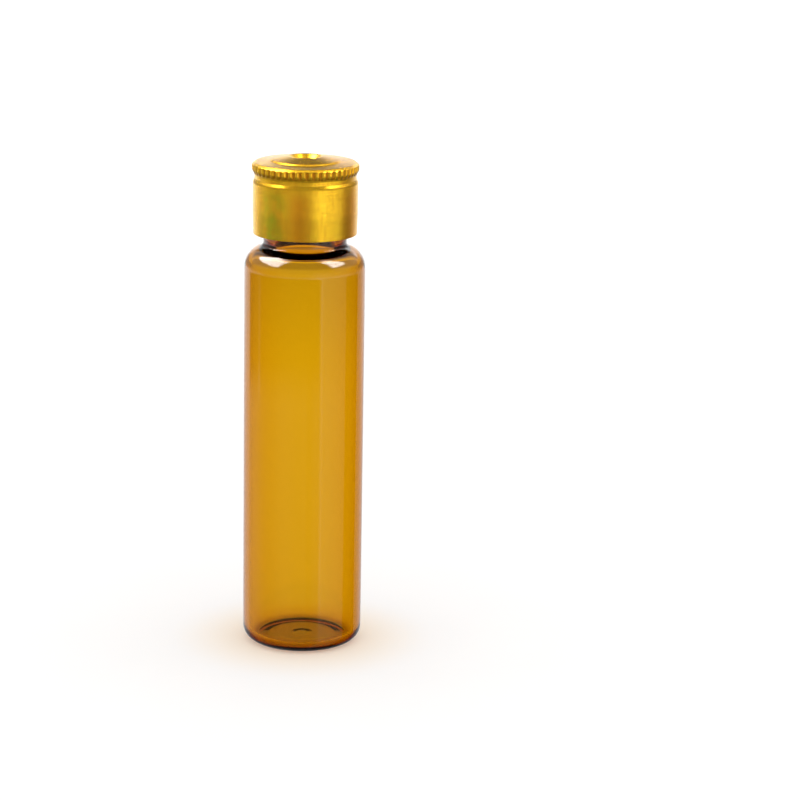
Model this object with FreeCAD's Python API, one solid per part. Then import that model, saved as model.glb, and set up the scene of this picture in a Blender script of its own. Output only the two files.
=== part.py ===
"""Small amber glass vial, 18 mm across, closed by a knurled drawn-aluminium cap.

Millimetres, +Z up. The origin is the centre of the base, on the plane that the
vial stands on. Every piece is turned about Z, so each one is drawn as an outline
of (radius, height, corner rounding) points and revolved.
"""
import FreeCAD, Part
import math
import os

# ---- driving dimensions: glass --------------------------------------------------
BODY_R = 9.0                # outside radius of the straight body
WALL = 1.0                  # body wall
HEEL_ROUND = 2.1            # outside rounding between base and body
RING_IN_R = 6.7             # inner edge of the flat ring that the vial stands on
DOME_R = 5.0                # edge of the raised part of the underside
BASE_RISE = 0.25            # how far the underside is pushed up inside that ring
DIMPLE_R = 1.7              # small central dimple left by closing the tube
DIMPLE_RISE = 0.1
FLOOR_Z = 0.85              # inside floor at the centre
FLOOR_EDGE_Z = 1.1          # inside floor where it meets the wall rounding
FLOOR_ROUND = 1.4
SHOULDER_Z = 60.2           # height where the body line meets the shoulder line
SHOULDER_SLOPE = 1.0        # rise of the shoulder from there to the neck
SHOULDER_ROUND = 3.2
NECK_R = 6.2
NECK_ROUND = 0.8
COLLAR_Z = 63.3             # underside of the collar
COLLAR_LOW_R = 7.4          # collar radius at its lower edge
COLLAR_TOP_R = 7.15         # collar radius at the rim
COLLAR_LOW_ROUND = 0.75
COLLAR_TOP_ROUND = 0.5
RIM_Z = 72.0                # flat sealing rim
BORE_R = 4.93               # bore at the rim
BORE_ROUND = 0.8
BORE_STEP_Z = 65.9          # where the bore starts to narrow
NECK_BORE_R = 4.5           # narrowest part of the bore, inside the neck
NECK_BORE_Z = 63.7          # top of that narrowest part
INNER_NECK_Z = 60.35        # where the bore meets the inside of the shoulder
INNER_SHOULDER_Z = 59.82    # where the inside of the shoulder meets the inside wall
INNER_SHOULDER_ROUND = 2.0

# ---- driving dimensions: closure ------------------------------------------------
SHEET = 0.2                 # aluminium sheet
SKIRT_Z = 63.04             # lower edge of the cap
SKIRT_LOW_R = 7.70
SKIRT_R = 7.78
SKIRT_STEP_Z = 66.4         # height up to which the skirt widens from one radius to the other
BEAD_Z = 70.75              # height where the skirt line meets the bead's slope
BEAD_TOP_Z = 71.25          # foot of the groove wall above the bead
BEAD_ROUND = 1.0
GROOVE_R = 7.55             # groove above the bead, and root of the knurl
GROOVE_Z = 71.9
KNURL_R = 7.92              # crest of the knurl
KNURL_LOW_Z = 72.6
KNURL_HIGH_Z = 73.3
NOTCH_TOP_Z = 73.35         # the notches stop here, just below the bevel
TEETH = 48
TOOTH_GAP = 0.72            # share of the pitch that each notch takes at the crest
TOP_Z = 73.85               # inner edge of the ring on top of the cap
TOP_DROP = 0.2              # fall of that ring towards its outer edge
TOP_EDGE_R = 7.45
STEP_R = 5.35               # foot of the small step inside the ring
STEP_H = 0.22
STEP_W = 0.3
LIP_R = 2.35                # lip of the raised cone
LIP_Z = 74.53               # lip corner before rounding; the rounded lip tops out at 74.5
WELL_R = 1.7                # floor of the central well
WELL_Z = 73.92
FACING = 0.12               # film under the gasket
GASKET_R = 7.2              # gasket and film, clear of the cap's wall


def rounded_wire(points):
    """Closed wire in the XZ plane through (radius, height, rounding) corners."""
    corners = [FreeCAD.Vector(r, 0, z) for r, z, _ in points]
    roundings = [rounding for _, _, rounding in points]
    starts = []
    ends = []
    arcs = []
    for i, corner in enumerate(corners):
        before = (corners[i - 1] - corner).normalize()
        after = (corners[(i + 1) % len(corners)] - corner).normalize()
        if roundings[i] == 0:
            starts.append(corner)
            ends.append(corner)
            arcs.append(None)
            continue
        half_angle = before.getAngle(after) / 2
        inward = (before + after).normalize()
        tangent = roundings[i] / math.tan(half_angle)
        depth = roundings[i] / math.sin(half_angle) - roundings[i]
        starts.append(corner + before * tangent)
        ends.append(corner + after * tangent)
        arcs.append(Part.Arc(starts[i], corner + inward * depth, ends[i]).toShape())
    edges = []
    for i in range(len(corners)):
        if arcs[i]:
            edges.append(arcs[i])
        following = starts[(i + 1) % len(corners)]
        edges.append(Part.LineSegment(ends[i], following).toShape())
    return Part.Wire(edges)


def turned(points):
    """Solid of revolution about Z."""
    face = Part.Face(rounded_wire(points))
    return face.revolve(FreeCAD.Vector(0, 0, 0), FreeCAD.Vector(0, 0, 1), 360)


def glass_vial():
    """Tube with a closed base, a rounded shoulder, a neck and a plain collar."""
    inside_r = BODY_R - WALL
    dimple_z = BASE_RISE + DIMPLE_RISE
    outside = [
        (0, dimple_z, 0),
        (DIMPLE_R / 2, dimple_z, 0.5),
        (DIMPLE_R, BASE_RISE, 0.5),
        (DOME_R, BASE_RISE, 2.0),
        (RING_IN_R, 0, 0.3),
        (BODY_R, 0, HEEL_ROUND),
        (BODY_R, SHOULDER_Z, SHOULDER_ROUND),
        (NECK_R, SHOULDER_Z + SHOULDER_SLOPE, NECK_ROUND),
        (NECK_R, COLLAR_Z, 0.3),
        (COLLAR_LOW_R, COLLAR_Z, COLLAR_LOW_ROUND),
        (COLLAR_TOP_R, RIM_Z, COLLAR_TOP_ROUND),
    ]
    inside = [
        (BORE_R, RIM_Z, BORE_ROUND),
        (BORE_R, BORE_STEP_Z, 3.0),
        (NECK_BORE_R, NECK_BORE_Z, 3.0),
        (NECK_BORE_R, INNER_NECK_Z, 0.6),
        (inside_r, INNER_SHOULDER_Z, INNER_SHOULDER_ROUND),
        (inside_r, FLOOR_EDGE_Z, FLOOR_ROUND),
        (inside_r / 2, FLOOR_Z, 5.0),
        (0, FLOOR_Z, 0),
    ]
    return turned(outside + inside)


def cap_blank():
    """The cap before knurling: one sheet thick, with a plain bulge at the rim."""
    outside = [
        (SKIRT_LOW_R, SKIRT_Z, 0),
        (SKIRT_R, SKIRT_STEP_Z, 20.0),
        (SKIRT_R, BEAD_Z, BEAD_ROUND),
        (GROOVE_R, BEAD_TOP_Z, 0.1),
        (GROOVE_R, GROOVE_Z, 0.5),
        (KNURL_R, KNURL_LOW_Z, 0.4),
        (KNURL_R, KNURL_HIGH_Z, 0.3),
        (TOP_EDGE_R, TOP_Z - TOP_DROP, 0.3),
        (STEP_R, TOP_Z, 0.1),
        (STEP_R - STEP_W, TOP_Z + STEP_H, 0.2),
        (LIP_R, LIP_Z, 0.3),
        (WELL_R, WELL_Z, 0.15),
        (0, WELL_Z, 0),
    ]
    inside_top_z = TOP_Z - SHEET
    inside = [
        (0, WELL_Z - SHEET, 0),
        (WELL_R + 0.12, WELL_Z - SHEET, 0.2),
        (LIP_R + 0.1, LIP_Z - SHEET * 1.6, 0.1),
        (STEP_R - STEP_W - 0.1, TOP_Z + STEP_H - SHEET, 0.1),
        (STEP_R - 0.1, inside_top_z, 0.2),
        (GROOVE_R - SHEET, inside_top_z - TOP_DROP, 0.15),
        (GROOVE_R - SHEET, BEAD_TOP_Z, 0.1),
        (SKIRT_R - SHEET, BEAD_Z, BEAD_ROUND),
        (SKIRT_R - SHEET, SKIRT_STEP_Z, 20.0),
        (SKIRT_LOW_R - SHEET, SKIRT_Z, 0),
    ]
    return turned(outside + inside)


def knurl_notches():
    """One upright V notch for each gap between teeth."""
    pitch_angle = 360 / TEETH
    reach = KNURL_R + 0.5
    half_gap = math.pi * KNURL_R / TEETH * TOOTH_GAP
    half_open = half_gap * (reach - GROOVE_R) / (KNURL_R - GROOVE_R)
    root = FreeCAD.Vector(GROOVE_R, 0, GROOVE_Z)
    left = FreeCAD.Vector(reach, half_open, GROOVE_Z)
    right = FreeCAD.Vector(reach, -half_open, GROOVE_Z)
    outline = Part.makePolygon([root, left, right, root])
    notch = Part.Face(outline).extrude(FreeCAD.Vector(0, 0, NOTCH_TOP_Z - GROOVE_Z))
    notches = []
    for i in range(TEETH):
        copy = notch.copy()
        copy.rotate(FreeCAD.Vector(0, 0, 0), FreeCAD.Vector(0, 0, 1), (i + 0.5) * pitch_angle)
        notches.append(copy)
    return notches


def cap_shell():
    """Drawn cap with its rim knurled."""
    return cap_blank().cut(knurl_notches())


def gasket_facing():
    """Thin film that lies on the glass rim."""
    return Part.makeCylinder(GASKET_R, FACING, FreeCAD.Vector(0, 0, RIM_Z))


def sealing_gasket():
    """Rubber disc between the film and the top of the cap."""
    low_z = RIM_Z + FACING
    high_z = TOP_Z - TOP_DROP - SHEET
    return Part.makeCylinder(GASKET_R, high_z - low_z, FreeCAD.Vector(0, 0, low_z))


PIECES = {
    "glass_vial": glass_vial,
    "cap_shell": cap_shell,
    "sealing_gasket": sealing_gasket,
    "gasket_facing": gasket_facing,
}


def main():
    os.makedirs("parts", exist_ok=True)
    for name, build in PIECES.items():
        shape = build()
        shape.exportStep("parts/" + name + ".step")
        box = shape.BoundBox
        print(name, "valid", shape.isValid(), "solids", len(shape.Solids),
              "volume %.2f" % shape.Volume, "z %.3f to %.3f" % (box.ZMin, box.ZMax),
              "x %.3f to %.3f" % (box.XMin, box.XMax))


main()
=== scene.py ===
"""Amber glass vial with a knurled gold cap: looks, stage and camera around the CAD frame.

Outlines are drawn in millimetres as (radius, height, corner rounding) and turned about Z.
"""
import math

import bmesh
import bpy
from mathutils import Matrix, Vector


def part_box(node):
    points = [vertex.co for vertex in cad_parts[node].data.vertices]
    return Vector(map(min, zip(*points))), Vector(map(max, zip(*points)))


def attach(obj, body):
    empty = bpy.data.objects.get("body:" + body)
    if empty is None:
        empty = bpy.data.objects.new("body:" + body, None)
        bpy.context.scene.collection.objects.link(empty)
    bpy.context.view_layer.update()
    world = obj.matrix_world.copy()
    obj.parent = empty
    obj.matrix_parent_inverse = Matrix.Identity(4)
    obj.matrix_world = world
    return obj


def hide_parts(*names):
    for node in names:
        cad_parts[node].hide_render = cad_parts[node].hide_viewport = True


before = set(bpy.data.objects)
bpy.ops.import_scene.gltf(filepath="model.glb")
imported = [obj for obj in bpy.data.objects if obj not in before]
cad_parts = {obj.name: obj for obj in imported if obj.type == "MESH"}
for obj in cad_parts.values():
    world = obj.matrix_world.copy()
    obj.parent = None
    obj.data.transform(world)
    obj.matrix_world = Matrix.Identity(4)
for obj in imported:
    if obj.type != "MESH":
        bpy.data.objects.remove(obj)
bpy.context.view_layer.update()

MM = 0.001

# ---- sizes from the frame, in millimetres ---------------------------------------
GLASS_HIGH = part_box("glass_vial")[1] / MM
CAP_LOW, CAP_HIGH = (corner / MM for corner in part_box("cap_shell"))
GASKET_LOW, GASKET_HIGH = (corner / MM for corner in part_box("sealing_gasket"))
FACING_LOW, FACING_HIGH = (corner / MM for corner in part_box("gasket_facing"))

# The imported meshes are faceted, so their boxes fall a few microns short of the true radii.
BODY_R = round(GLASS_HIGH.y, 2)
RIM_Z = round(GLASS_HIGH.z, 2)
KNURL_R = round(CAP_HIGH.x, 2)
SKIRT_Z = round(CAP_LOW.z, 2)
CAP_TOP = round(CAP_HIGH.z, 2)
GASKET_R = round(GASKET_HIGH.x, 2)

# ---- glass ----------------------------------------------------------------------
WALL = 1.0
NECK_R = BODY_R - 2.8
BORE_R = NECK_R - 1.27
NECK_BORE_R = BORE_R - 0.43
COLLAR_LOW_R = NECK_R + 1.2
COLLAR_TOP_R = COLLAR_LOW_R - 0.25
COLLAR_Z = RIM_Z - 8.7
SHOULDER_Z = RIM_Z - 11.8
SHOULDER_RISE = 1.0
SHOULDER_ROUND = 3.2
INNER_SHOULDER_ROUND = 2.0
HEEL_ROUND = 2.1
RING_IN_R = BODY_R - 2.3    # inner edge of the flat ring that the vial stands on
DOME_R = RING_IN_R - 1.7    # edge of the raised part of the underside
BASE_RISE = 0.25
DIMPLE_R = 1.7              # dimple in the middle of the underside
DIMPLE_RISE = 0.1
FLOOR_Z = 0.85              # inside floor at the centre
FLOOR_EDGE_Z = 1.1          # inside floor where it meets the wall's rounding
FLOOR_ROUND = 1.4

# ---- cap ------------------------------------------------------------------------
SHEET = 0.2
SKIRT_R = KNURL_R - 0.14
SKIRT_LOW_R = KNURL_R - 0.22
SKIRT_STEP_Z = SKIRT_Z + 3.36   # the skirt widens up to here
BEAD_Z = CAP_TOP - 3.75
BEAD_RISE = 0.5
GROOVE_R = KNURL_R - 0.37
GROOVE_Z = CAP_TOP - 2.6
TEETH = 48
TOOTH_GAP = 0.72                # share of the pitch that each notch takes at the crest
KNURL_LOW_Z = CAP_TOP - 1.9
KNURL_HIGH_Z = CAP_TOP - 1.2
NOTCH_LOW_Z = CAP_TOP - 2.8
NOTCH_HIGH_Z = CAP_TOP - 1.15
FLAT_Z = CAP_TOP - 0.65         # inner edge of the ring on top of the cap
FLAT_DROP = 0.2                 # fall of that ring towards its outer edge

ARC_STEP = math.radians(5)
LONG_RUN = 1.0                  # straight runs longer than this get extra points,
RUN_MARGIN = 0.15               # this far from their ends


# ---- mesh tools -----------------------------------------------------------------
def outline(corners, closed=True):
    """Points along the polygon of (radius, height, rounding) corners, with its corners rounded."""
    points = []
    count = len(corners)
    for i, (r, z, rounding) in enumerate(corners):
        corner = Vector((r, z))
        at_end = not closed and i in (0, count - 1)
        if rounding == 0 or at_end:
            points.append(corner)
            continue
        before = (Vector(corners[i - 1][:2]) - corner).normalized()
        after = (Vector(corners[(i + 1) % count][:2]) - corner).normalized()
        half = before.angle(after) / 2
        centre = corner + (before + after).normalized() * (rounding / math.sin(half))
        start = corner + before * (rounding / math.tan(half)) - centre
        turn = math.pi - 2 * half
        steps = max(2, math.ceil(turn / ARC_STEP))
        side = 1 if before.x * after.y - before.y * after.x < 0 else -1
        for k in range(steps + 1):
            angle = side * turn * k / steps
            points.append(centre + Matrix.Rotation(angle, 2) @ start)
    return with_margins(points, closed)


def with_margins(points, closed):
    """Adds a point near each end of a long straight run, so that shading stays true along it."""
    result = []
    last = len(points) if closed else len(points) - 1
    for i, point in enumerate(points):
        result.append(point)
        if i >= last:
            continue
        run = points[(i + 1) % len(points)] - point
        if run.length > LONG_RUN:
            step = run.normalized() * RUN_MARGIN
            result.append(point + step)
            result.append(point + run - step)
    return result


def lathe(name, profile, segments, shape=None):
    """Mesh object: the profile turned about Z. shape(r, z, angle) may return a changed radius."""
    mesh = bmesh.new()
    rings = []
    for point in profile:
        r, z = point
        if r < 1e-6:
            rings.append([mesh.verts.new((0, 0, z * MM))])
            continue
        ring = []
        for k in range(segments):
            angle = 2 * math.pi * k / segments
            radius = shape(r, z, angle) if shape else r
            ring.append(mesh.verts.new((
                radius * math.cos(angle) * MM, radius * math.sin(angle) * MM, z * MM)))
        rings.append(ring)
    pairs = list(zip(rings, rings[1:]))
    if len(rings[0]) > 1:
        pairs.append((rings[-1], rings[0]))
    for low, high in pairs:
        for k in range(segments):
            following = (k + 1) % segments
            if len(low) == 1 and len(high) == 1:
                continue
            if len(low) == 1:
                mesh.faces.new((low[0], high[following], high[k]))
            elif len(high) == 1:
                mesh.faces.new((low[k], low[following], high[0]))
            else:
                mesh.faces.new((low[k], low[following], high[following], high[k]))
    bmesh.ops.recalc_face_normals(mesh, faces=mesh.faces)
    data = bpy.data.meshes.new(name)
    mesh.to_mesh(data)
    mesh.free()
    data.shade_smooth()
    piece = bpy.data.objects.new(name, data)
    bpy.context.scene.collection.objects.link(piece)
    return piece


# ---- node tools -----------------------------------------------------------------
class Nodes:
    """Short calls for building a node tree."""

    def __init__(self, tree):
        self.tree = tree
        self.tree.nodes.clear()

    def add(self, kind, inputs=None, **settings):
        node = self.tree.nodes.new(kind)
        for key, value in settings.items():
            setattr(node, key, value)
        for key, value in (inputs or {}).items():
            if isinstance(value, bpy.types.NodeSocket):
                self.tree.links.new(value, node.inputs[key])
            else:
                node.inputs[key].default_value = value
        return node

    def maths(self, operation, *values):
        node = self.add("ShaderNodeMath", dict(enumerate(values)), operation=operation)
        return node.outputs[0]

    def product(self, first, *others):
        """Product of two or more values."""
        result = first
        for value in others:
            result = self.maths("MULTIPLY", result, value)
        return result

    def mix(self, factor, first, second):
        """Goes from the first colour to the second while factor goes from zero to one."""
        node = self.add("ShaderNodeMix", data_type="RGBA")
        sockets = (node.inputs[0], node.inputs[6], node.inputs[7])
        for socket, value in zip(sockets, (factor, first, second)):
            if isinstance(value, bpy.types.NodeSocket):
                self.tree.links.new(value, socket)
            else:
                socket.default_value = value
        return node.outputs[2]

    def ramp(self, factor, stops):
        node = self.add("ShaderNodeValToRGB", {"Fac": factor})
        elements = node.color_ramp.elements
        while len(elements) < len(stops):
            elements.new(0.5)
        for element, (position, colour) in zip(elements, stops):
            element.position = position
            element.color = colour
        return node.outputs["Color"]

    def span(self, value, low, high, first=0.0, last=1.0, smooth=True):
        """Goes from first to last while value goes from low to high."""
        node = self.add("ShaderNodeMapRange", {
            "Value": value, "From Min": low, "From Max": high, "To Min": first, "To Max": last},
            interpolation_type="SMOOTHSTEP" if smooth else "LINEAR")
        return node.outputs[0]

    def window(self, value, low, high, soft):
        """One between low and high, nothing outside, with soft edges."""
        rise = self.span(value, low - soft, low + soft)
        fall = self.span(value, high - soft, high + soft, 1.0, 0.0)
        return self.product(rise, fall)

    def bearing(self, x, y):
        """Angle about Z in radians: zero towards -Y, the front, and positive towards +X."""
        return self.maths("ARCTAN2", x, self.maths("MULTIPLY", y, -1.0))

    def sector(self, bearing, left, right, soft):
        """Window between two bearings. These and the soft edges are in degrees."""
        return self.window(bearing, math.radians(left), math.radians(right), math.radians(soft))

    def scaled(self, level, mask, factor):
        """The level where mask is zero, and factor times the level where mask is one."""
        return self.product(level, self.span(mask, 0.0, 1.0, 1.0, factor, smooth=False))

    def noise(self, vector, scale, detail=3.0, roughness=0.5):
        node = self.add("ShaderNodeTexNoise", {
            "Vector": vector, "Scale": scale, "Detail": detail, "Roughness": roughness})
        return node.outputs["Fac"]


def new_material(name):
    material = bpy.data.materials.new(name)
    material.use_nodes = True
    return material, Nodes(material.node_tree)


def object_coordinates(nodes, scale=(1, 1, 1)):
    """Object coordinates in millimetres, stretched by scale."""
    source = nodes.add("ShaderNodeTexCoord").outputs["Object"]
    stretch = Vector(scale) / MM
    return nodes.add("ShaderNodeMapping", {"Vector": source, "Scale": stretch}).outputs[0]


# ---- materials ------------------------------------------------------------------
def amber_glass():
    """Clear amber glass, tinted by its depth, with the faint drawn lines of glass tube."""
    material, nodes = new_material("amber_glass")
    lines = nodes.noise(object_coordinates(nodes, (0.5, 0.5, 0.02)), 1.0, 2.0)
    bump = nodes.add("ShaderNodeBump", {"Height": lines, "Strength": 0.02, "Distance": 0.0002})
    surface = nodes.add("ShaderNodeBsdfPrincipled", {
        "Base Color": (1, 1, 1, 1),
        "Roughness": 0.0,
        "IOR": 1.5,
        "Specular Tint": (0.6, 0.6, 0.6, 1),
        "Transmission Weight": 1.0,
        "Normal": bump.outputs[0],
    })
    depth = nodes.add("ShaderNodeVolumeAbsorption", {
        "Color": (0.944, 0.847, 0.086, 1), "Density": 3500.0})
    nodes.add("ShaderNodeOutputMaterial", {
        "Surface": surface.outputs[0], "Volume": depth.outputs[0]})
    return material


def gold_and_painted_reflections(nodes, facing, height):
    """Colour of the gold, a little uneven, with two brown bands on the skirt that are painted dark
    reflections, and a greenish patch on the skirt.
    """
    broad = nodes.noise(object_coordinates(nodes, (0.16, 0.16, 0.05)), 1.0, 2.0)
    gold = nodes.ramp(broad, [
        (0.35, (0.82, 0.40, 0.014, 1)),
        (0.50, (0.87, 0.48, 0.018, 1)),
        (0.65, (0.90, 0.56, 0.022, 1)),
    ])
    skirt = nodes.span(height, SKIRT_Z + 5.5, SKIRT_Z + 8.5, 1.0, 0.0)
    # Painted reflections: two brown bands on the skirt at fixed bearings stand for dark
    # surroundings mirrored by the metal.
    painted_reflection_sectors = nodes.maths("ADD",
        nodes.sector(facing, -14, 5, 9),
        nodes.sector(facing, 50, 72, 8))
    with_painted_reflections = nodes.mix(nodes.product(skirt, painted_reflection_sectors), gold, (0.80, 0.35, 0.012, 1))
    cloud = nodes.noise(object_coordinates(nodes, (0.4, 0.4, 0.3)), 1.0, 3.0)
    patches = nodes.span(cloud, 0.35, 0.6, 0.15)
    green = nodes.product(nodes.sector(facing, -50, -24, 14), patches, skirt)
    return nodes.mix(green, with_painted_reflections, (0.54, 0.52, 0.02, 1))


def gold_aluminium():
    """Gold anodised aluminium sheet with drawing marks, and painted shade darkening the knurl
    notches.
    """
    material, nodes = new_material("gold_aluminium")
    place = nodes.add("ShaderNodeSeparateXYZ", {"Vector": object_coordinates(nodes)})
    x, y, height = place.outputs
    tones = gold_and_painted_reflections(nodes, nodes.bearing(x, y), height)
    rings = nodes.noise(object_coordinates(nodes, (0.6, 0.6, 6.0)), 1.0, 3.0, 0.6)
    draws = nodes.noise(object_coordinates(nodes, (4.0, 4.0, 0.4)), 1.0, 3.0, 0.6)
    marks = nodes.maths("ADD", nodes.product(rings, 0.5), nodes.product(draws, 0.5))
    worn = nodes.span(marks, 0.3, 0.7, 0.0, 0.45)
    grained = nodes.mix(worn, tones, (0.62, 0.25, 0.008, 1))
    squares = nodes.maths("ADD", nodes.maths("POWER", x, 2.0), nodes.maths("POWER", y, 2.0))
    radius = nodes.maths("POWER", squares, 0.5)
    # Painted shade: the knurl notches are darkened as if lying in shade.
    painted_notch_shade = nodes.product(
        nodes.span(radius, GROOVE_R + 0.05, KNURL_R - 0.05, 0.9, 0.0),
        nodes.window(height, NOTCH_LOW_Z + 0.4, NOTCH_HIGH_Z, 0.1))
    colour = nodes.mix(painted_notch_shade, grained, (0.52, 0.22, 0.008, 1))
    bump = nodes.add("ShaderNodeBump", {"Height": marks, "Strength": 0.25, "Distance": 0.00004})
    surface = nodes.add("ShaderNodeBsdfPrincipled", {
        "Base Color": colour,
        "Metallic": 0.8,
        "Roughness": nodes.span(marks, 0.3, 0.7, 0.18, 0.28, smooth=False),
        "Normal": bump.outputs[0],
    })
    nodes.add("ShaderNodeOutputMaterial", {"Surface": surface.outputs[0]})
    return material


def gasket_rubber():
    """Grey moulded rubber."""
    material, nodes = new_material("gasket_rubber")
    grain = nodes.noise(object_coordinates(nodes), 6.0, 4.0, 0.6)
    colour = nodes.ramp(grain, [
        (0.3, (0.17, 0.165, 0.155, 1)),
        (0.7, (0.25, 0.245, 0.235, 1)),
    ])
    roughness = nodes.add("ShaderNodeMapRange", {"Value": grain, "To Min": 0.55, "To Max": 0.75})
    bump = nodes.add("ShaderNodeBump", {"Height": grain, "Strength": 0.2, "Distance": 0.00003})
    surface = nodes.add("ShaderNodeBsdfPrincipled", {
        "Base Color": colour,
        "Roughness": roughness.outputs[0],
        "Normal": bump.outputs[0],
    })
    nodes.add("ShaderNodeOutputMaterial", {"Surface": surface.outputs[0]})
    return material


def facing_film():
    """Milky inert film."""
    material, nodes = new_material("facing_film")
    cloud = nodes.noise(object_coordinates(nodes), 1.5, 3.0)
    colour = nodes.ramp(cloud, [
        (0.3, (0.74, 0.735, 0.71, 1)),
        (0.7, (0.84, 0.835, 0.815, 1)),
    ])
    roughness = nodes.add("ShaderNodeMapRange", {"Value": cloud, "To Min": 0.28, "To Max": 0.42})
    surface = nodes.add("ShaderNodeBsdfPrincipled", {
        "Base Color": colour,
        "Roughness": roughness.outputs[0],
    })
    nodes.add("ShaderNodeOutputMaterial", {"Surface": surface.outputs[0]})
    return material


def dress(piece, material, slot, body, *replaced):
    """Gives a piece its material and ties it to the frame."""
    piece.data.materials.append(material)
    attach(piece, body)
    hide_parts(*replaced)


# ---- pieces ---------------------------------------------------------------------
def make_vial():
    """The whole glass as one closed body, from the underside round to the inside floor."""
    inside_r = BODY_R - WALL
    dimple_z = BASE_RISE + DIMPLE_RISE
    corners = [
        (0, dimple_z, 0),
        (DIMPLE_R / 2, dimple_z, 0.5),
        (DIMPLE_R, BASE_RISE, 0.5),
        (DOME_R, BASE_RISE, 2.0),
        (RING_IN_R, 0, 0.3),
        (BODY_R, 0, HEEL_ROUND),
        (BODY_R, SHOULDER_Z, SHOULDER_ROUND),
        (NECK_R, SHOULDER_Z + SHOULDER_RISE, 0.8),
        (NECK_R, COLLAR_Z, 0.3),
        (COLLAR_LOW_R, COLLAR_Z, 0.75),
        (COLLAR_TOP_R, RIM_Z, 0.5),
        (BORE_R, RIM_Z, 0.8),
        (BORE_R, COLLAR_Z + 2.6, 3.0),
        (NECK_BORE_R, COLLAR_Z + 0.4, 3.0),
        (NECK_BORE_R, SHOULDER_Z + 0.15, 0.6),
        (inside_r, SHOULDER_Z - 0.38, INNER_SHOULDER_ROUND),
        (inside_r, FLOOR_EDGE_Z, FLOOR_ROUND),
        (inside_r / 2, FLOOR_Z, 5.0),
        (0, FLOOR_Z, 0),
    ]
    piece = lathe("amber_vial", outline(corners, closed=False), 192)
    dress(piece, amber_glass(), "amber_glass", "vial", "glass_vial")


def knurl(r, z, angle):
    """Radius after the V notches between the teeth are pressed in."""
    if z < NOTCH_LOW_Z or z > NOTCH_HIGH_Z:
        return r
    pitch = 2 * math.pi / TEETH
    from_crest = abs((angle / pitch + 0.5) % 1 - 0.5) * 2
    notch = (1 - from_crest) / TOOTH_GAP
    return min(r, GROOVE_R + (KNURL_R - GROOVE_R) * min(1, notch))


def make_cap():
    """The drawn cap, one sheet thick, with the knurl pressed in from outside."""
    step_r = 5.35
    step_inner_r = step_r - 0.3
    step_top_z = FLAT_Z + 0.22
    lip_r = 2.35
    lip_z = CAP_TOP + 0.02
    well_r = 1.7
    well_z = FLAT_Z + 0.07
    edge_z = FLAT_Z - FLAT_DROP
    outside = [
        (SKIRT_LOW_R, SKIRT_Z, 0.05),
        (SKIRT_R, SKIRT_STEP_Z, 20.0),
        (SKIRT_R, BEAD_Z, 1.0),
        (GROOVE_R, BEAD_Z + BEAD_RISE, 0.1),
        (GROOVE_R, GROOVE_Z, 0.5),
        (KNURL_R, KNURL_LOW_Z, 0.4),
        (KNURL_R, KNURL_HIGH_Z, 0.3),
        (KNURL_R - 0.47, edge_z, 0.3),
        (step_r, FLAT_Z, 0.1),
        (step_inner_r, step_top_z, 0.2),
        (lip_r, lip_z, 0.3),
        (well_r, well_z, 0.15),
        (0, well_z, 0),
    ]
    inside = [
        (0, well_z - SHEET, 0),
        (well_r + 0.12, well_z - SHEET, 0.2),
        (lip_r + 0.1, lip_z - SHEET * 1.6, 0.1),
        (step_inner_r - 0.1, step_top_z - SHEET, 0.1),
        (step_r - 0.1, FLAT_Z - SHEET, 0.2),
        (GROOVE_R - SHEET, edge_z - SHEET, 0.15),
        (GROOVE_R - SHEET, BEAD_Z + BEAD_RISE, 0.1),
        (SKIRT_R - SHEET, BEAD_Z, 1.0),
        (SKIRT_R - SHEET, SKIRT_STEP_Z, 20.0),
        (SKIRT_LOW_R - SHEET, SKIRT_Z, 0.05),
    ]
    piece = lathe("gold_cap", outline(outside + inside), TEETH * 12, knurl)
    dress(piece, gold_aluminium(), "gold_aluminium", "cap", "cap_shell")


def make_gasket():
    """Rubber disc in the top of the cap."""
    corners = [
        (0, GASKET_LOW.z, 0),
        (GASKET_R, GASKET_LOW.z, 0.1),
        (GASKET_R, GASKET_HIGH.z, 0.15),
        (0, GASKET_HIGH.z, 0),
    ]
    piece = lathe("rubber_gasket", outline(corners, closed=False), 128)
    dress(piece, gasket_rubber(), "gasket_rubber", "gasket", "sealing_gasket")


def make_facing():
    """Thin film under the gasket, pressed flat by the glass rim and standing off it inside."""
    dent = 0.03
    corners = [
        (0, FACING_LOW.z + dent, 0),
        (BORE_R + 0.55, FACING_LOW.z + dent, 0.1),
        (BORE_R + 0.75, FACING_LOW.z, 0.1),
        (COLLAR_TOP_R, FACING_LOW.z, 0.02),
        (GASKET_R, FACING_LOW.z, 0.02),
        (GASKET_R, FACING_HIGH.z, 0.02),
        (0, FACING_HIGH.z, 0),
    ]
    piece = lathe("facing_disc", outline(corners, closed=False), 128)
    dress(piece, facing_film(), "facing_film", "gasket", "gasket_facing")


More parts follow.
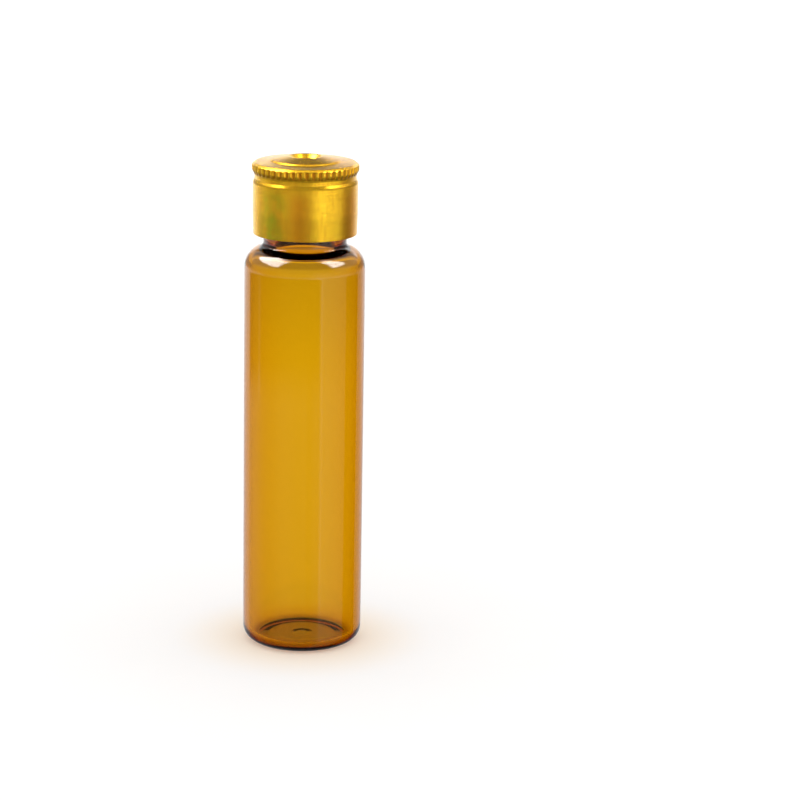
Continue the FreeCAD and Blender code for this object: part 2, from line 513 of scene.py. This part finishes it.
# ---- stage ----------------------------------------------------------------------
def white_table():
    """Pale and slightly uneven, with a painted pool of warm amber light close to the vial.

    A weak glow fades with distance. The camera alone sees the far table glow more, as white.
    """
    material, nodes = new_material("white_table")
    grain = nodes.noise(object_coordinates(nodes), 0.05, 2.0)
    plain = nodes.ramp(grain, [
        (0.3, (0.745, 0.742, 0.740, 1)),
        (0.7, (0.755, 0.752, 0.750, 1)),
    ])
    measure = nodes.add("ShaderNodeVectorMath", {0: object_coordinates(nodes)}, operation="LENGTH")
    away = measure.outputs["Value"]
    near = nodes.span(away, 7.0, 21.0, 1.0, 0.0)
    far = nodes.span(away, 270.0, 330.0)
    # Painted light: the warm tint close to the vial stands for amber light thrown through the
    # glass.
    painted_amber_light = nodes.mix(near, plain, (0.78, 0.69, 0.56, 1))
    colour = nodes.mix(far, painted_amber_light, (0.52, 0.50, 0.48, 1))
    cloth = nodes.add("ShaderNodeBsdfDiffuse", {"Color": colour})
    seen_directly = nodes.add("ShaderNodeLightPath").outputs["Is Camera Ray"]
    fading = nodes.span(away, 140.0, 290.0, 0.2, 0.0)
    kept_white = nodes.product(seen_directly, nodes.span(far, 0.0, 1.0, 0.2, 0.6))
    strength = nodes.maths("MAXIMUM", fading, kept_white)
    glow = nodes.add("ShaderNodeEmission", {"Color": (1.0, 0.99, 0.98, 1), "Strength": strength})
    surface = nodes.add("ShaderNodeAddShader", {0: cloth.outputs[0], 1: glow.outputs[0]})
    nodes.add("ShaderNodeOutputMaterial", {"Surface": surface.outputs[0]})
    return material


def make_floor():
    """Round table top. Mirror rays pass it and see the studio instead."""
    mesh = bmesh.new()
    bmesh.ops.create_circle(mesh, cap_ends=True, segments=96, radius=3.0)
    data = bpy.data.meshes.new("floor")
    mesh.to_mesh(data)
    mesh.free()
    floor = bpy.data.objects.new("floor", data)
    bpy.context.scene.collection.objects.link(floor)
    data.materials.append(white_table())
    floor.visible_glossy = False


# The studio is written in bearings (degrees, as Nodes.bearing has them) and in z, the upward part
# of a ray's direction. For the scene's own camera, rays mirrored by the closed cap's skirt go above
# BODY_Z and those mirrored by the straight body go below it, so the two see different brightness.
BODY_Z = -0.196
UPPER_BODY_Z = -0.245           # the upper part of the body mirrors rays from here to BODY_Z
FIELDS = [                      # (bearing, brightness)
    (-180, 1.4), (-150, 1.4), (-121, 1.2), (-98, 1.15), (-79, 0.75), (-62, 0.63),
    (-40, 1.0), (-18, 0.9), (-5, 0.68), (10, 1.0), (28, 2.4), (48, 2.05),
    (67, 1.75), (85, 1.25), (106, 0.38), (131, 0.62), (150, 1.2), (180, 1.2),
]
BODY_SECTORS = [                # (left, right, soft edge, factor)
    (-125, 88, 4, 0.64), (8, 34, 3, 0.4), (34, 38, 1, 1.5), (88, 124, 1.5, 0.03),
]
UPPER_BODY_SECTORS = [
    (-125, 32, 4, 0.12), (-96, -91, 1, 5.0), (36, 88, 2, 0.7),
]
SOFT_BOXES = [                  # (left, right, lowest elevation, highest elevation, strength)
    (-128, -58, 33, 66, 22.0),
    (64, 102, 33, 66, 22.0),
    (148, 176, 16, 24, 1.8),
    (-176, -162, 14, 24, 0.6),
]


def fields_below(nodes, bearing, z, beside):
    """Brightness below the horizon and a little above it."""
    share = nodes.span(bearing, -math.pi, math.pi, smooth=False)
    half_ring = nodes.ramp(share, [
        ((degrees + 180) / 360, (level / 2, level / 2, level / 2, 1)) for degrees, level in FIELDS])
    level = nodes.product(
        half_ring, 2.0,
        nodes.span(z, -0.27, -0.17, 0.6, 1.0),
        nodes.span(z, -0.60, -0.27, 0.3, 1.0))
    body = nodes.span(z, BODY_Z - 0.004, BODY_Z + 0.004, 1.0, 0.0)
    upper_body = nodes.product(body, nodes.span(z, UPPER_BODY_Z - 0.01, UPPER_BODY_Z + 0.01))
    for height, sectors in ((upper_body, UPPER_BODY_SECTORS), (body, BODY_SECTORS)):
        for left, right, soft, factor in sectors:
            zone = nodes.product(height, nodes.sector(bearing, left, right, soft))
            level = nodes.scaled(level, zone, factor)
    dusk = nodes.product(beside, nodes.span(z, -0.14, -0.08))
    return nodes.scaled(level, dusk, 0.35)


def fields_above(nodes, from_front, z, behind):
    """Brightness of the upper half: darker in front, and darkest behind at middle height."""
    sides = nodes.span(from_front, math.radians(45), math.radians(100), 0.3, 0.9)
    shade = nodes.product(behind, nodes.window(z, 0.28, 0.92, 0.05))
    return nodes.product(sides, nodes.span(shade, 0.0, 1.0, 1.0, 0.06))


def studio(nodes, bearing, from_front, z):
    """What mirror rays see: dark and light fields, and soft boxes in front of them."""
    behind = nodes.span(from_front, math.radians(150), math.radians(165))
    beside = nodes.maths("SUBTRACT", 1.0, behind)
    rise = nodes.span(z, 0.18, 0.33)
    level = nodes.maths("ADD",
        nodes.product(fields_below(nodes, bearing, z, beside), nodes.maths("SUBTRACT", 1.0, rise)),
        nodes.product(fields_above(nodes, from_front, z, behind), rise))
    for left, right, lowest, highest, strength in SOFT_BOXES:
        wide = nodes.sector(bearing, left, right, 5)
        bottom, top = math.sin(math.radians(lowest)), math.sin(math.radians(highest))
        box = nodes.product(wide, nodes.window(z, bottom, top, 0.06), strength)
        level = nodes.maths("ADD", level, box)
    return level


def backdrop(nodes, from_front, z):
    """What rays that have passed the glass see: dim in front, bright behind, dark above."""
    front = nodes.span(from_front, math.radians(60), math.radians(110), 0.2, 1.15)
    return nodes.product(front, nodes.span(z, 0.10, 0.40, 1.0, 0.1))


def make_world():
    """White surroundings, with a studio for mirror rays and a backdrop for rays through glass."""
    world = bpy.data.worlds.new("studio")
    world.use_nodes = True
    world.cycles.sampling_method = "NONE"
    bpy.context.scene.world = world
    nodes = Nodes(world.node_tree)
    direction = nodes.add("ShaderNodeTexCoord").outputs["Generated"]
    x, y, z = nodes.add("ShaderNodeSeparateXYZ", {"Vector": direction}).outputs
    bearing = nodes.bearing(x, y)
    from_front = nodes.maths("ABSOLUTE", bearing)
    rays = nodes.add("ShaderNodeLightPath").outputs
    through = rays["Is Transmission Ray"]
    mirror = nodes.product(rays["Is Glossy Ray"], nodes.maths("SUBTRACT", 1.0, through))
    scattered = nodes.maths("MINIMUM", rays["Diffuse Depth"], 1.0)
    dome = nodes.span(z, 0.25, 0.75, 1.7, 0.95)
    behind_glass = nodes.mix(scattered, backdrop(nodes, from_front, z), (2.4, 2.4, 2.4, 1))
    plain = nodes.mix(through, dome, behind_glass)
    colour = nodes.mix(mirror, plain, studio(nodes, bearing, from_front, z))
    background = nodes.add("ShaderNodeBackground", {"Color": colour, "Strength": 1.0})
    nodes.add("ShaderNodeOutputWorld", {"Surface": background.outputs[0]})


def make_camera():
    """Camera a little above the cap, aimed between this vial and where its neighbour stood."""
    data = bpy.data.cameras.new("camera")
    data.sensor_width = 36.0
    data.lens = 123.5
    camera = bpy.data.objects.new("camera", data)
    aside, distance, height = 14.5, 400.0, 140.9
    pitch, roll = math.radians(14.47), math.radians(1.0)
    camera.matrix_world = (
        Matrix.Translation(Vector((aside, -distance, height)) * MM)
        @ Matrix.Rotation(math.pi / 2 - pitch, 4, "X")
        @ Matrix.Rotation(roll, 4, "Z"))
    data.clip_start = 0.01
    data.clip_end = 20.0
    bpy.context.scene.collection.objects.link(camera)
    bpy.context.scene.camera = camera


def set_rendering():
    """Plain display of colour, and enough bounces for light to leave thick glass."""
    scene = bpy.context.scene
    scene.view_settings.view_transform = "Standard"
    scene.cycles.max_bounces = 32
    scene.cycles.transmission_bounces = 32
    scene.cycles.glossy_bounces = 16
    scene.cycles.sample_clamp_indirect = 6.0
    scene.cycles.caustics_reflective = False


make_vial()
make_cap()
make_gasket()
make_facing()
make_floor()
make_world()
make_camera()
set_rendering()
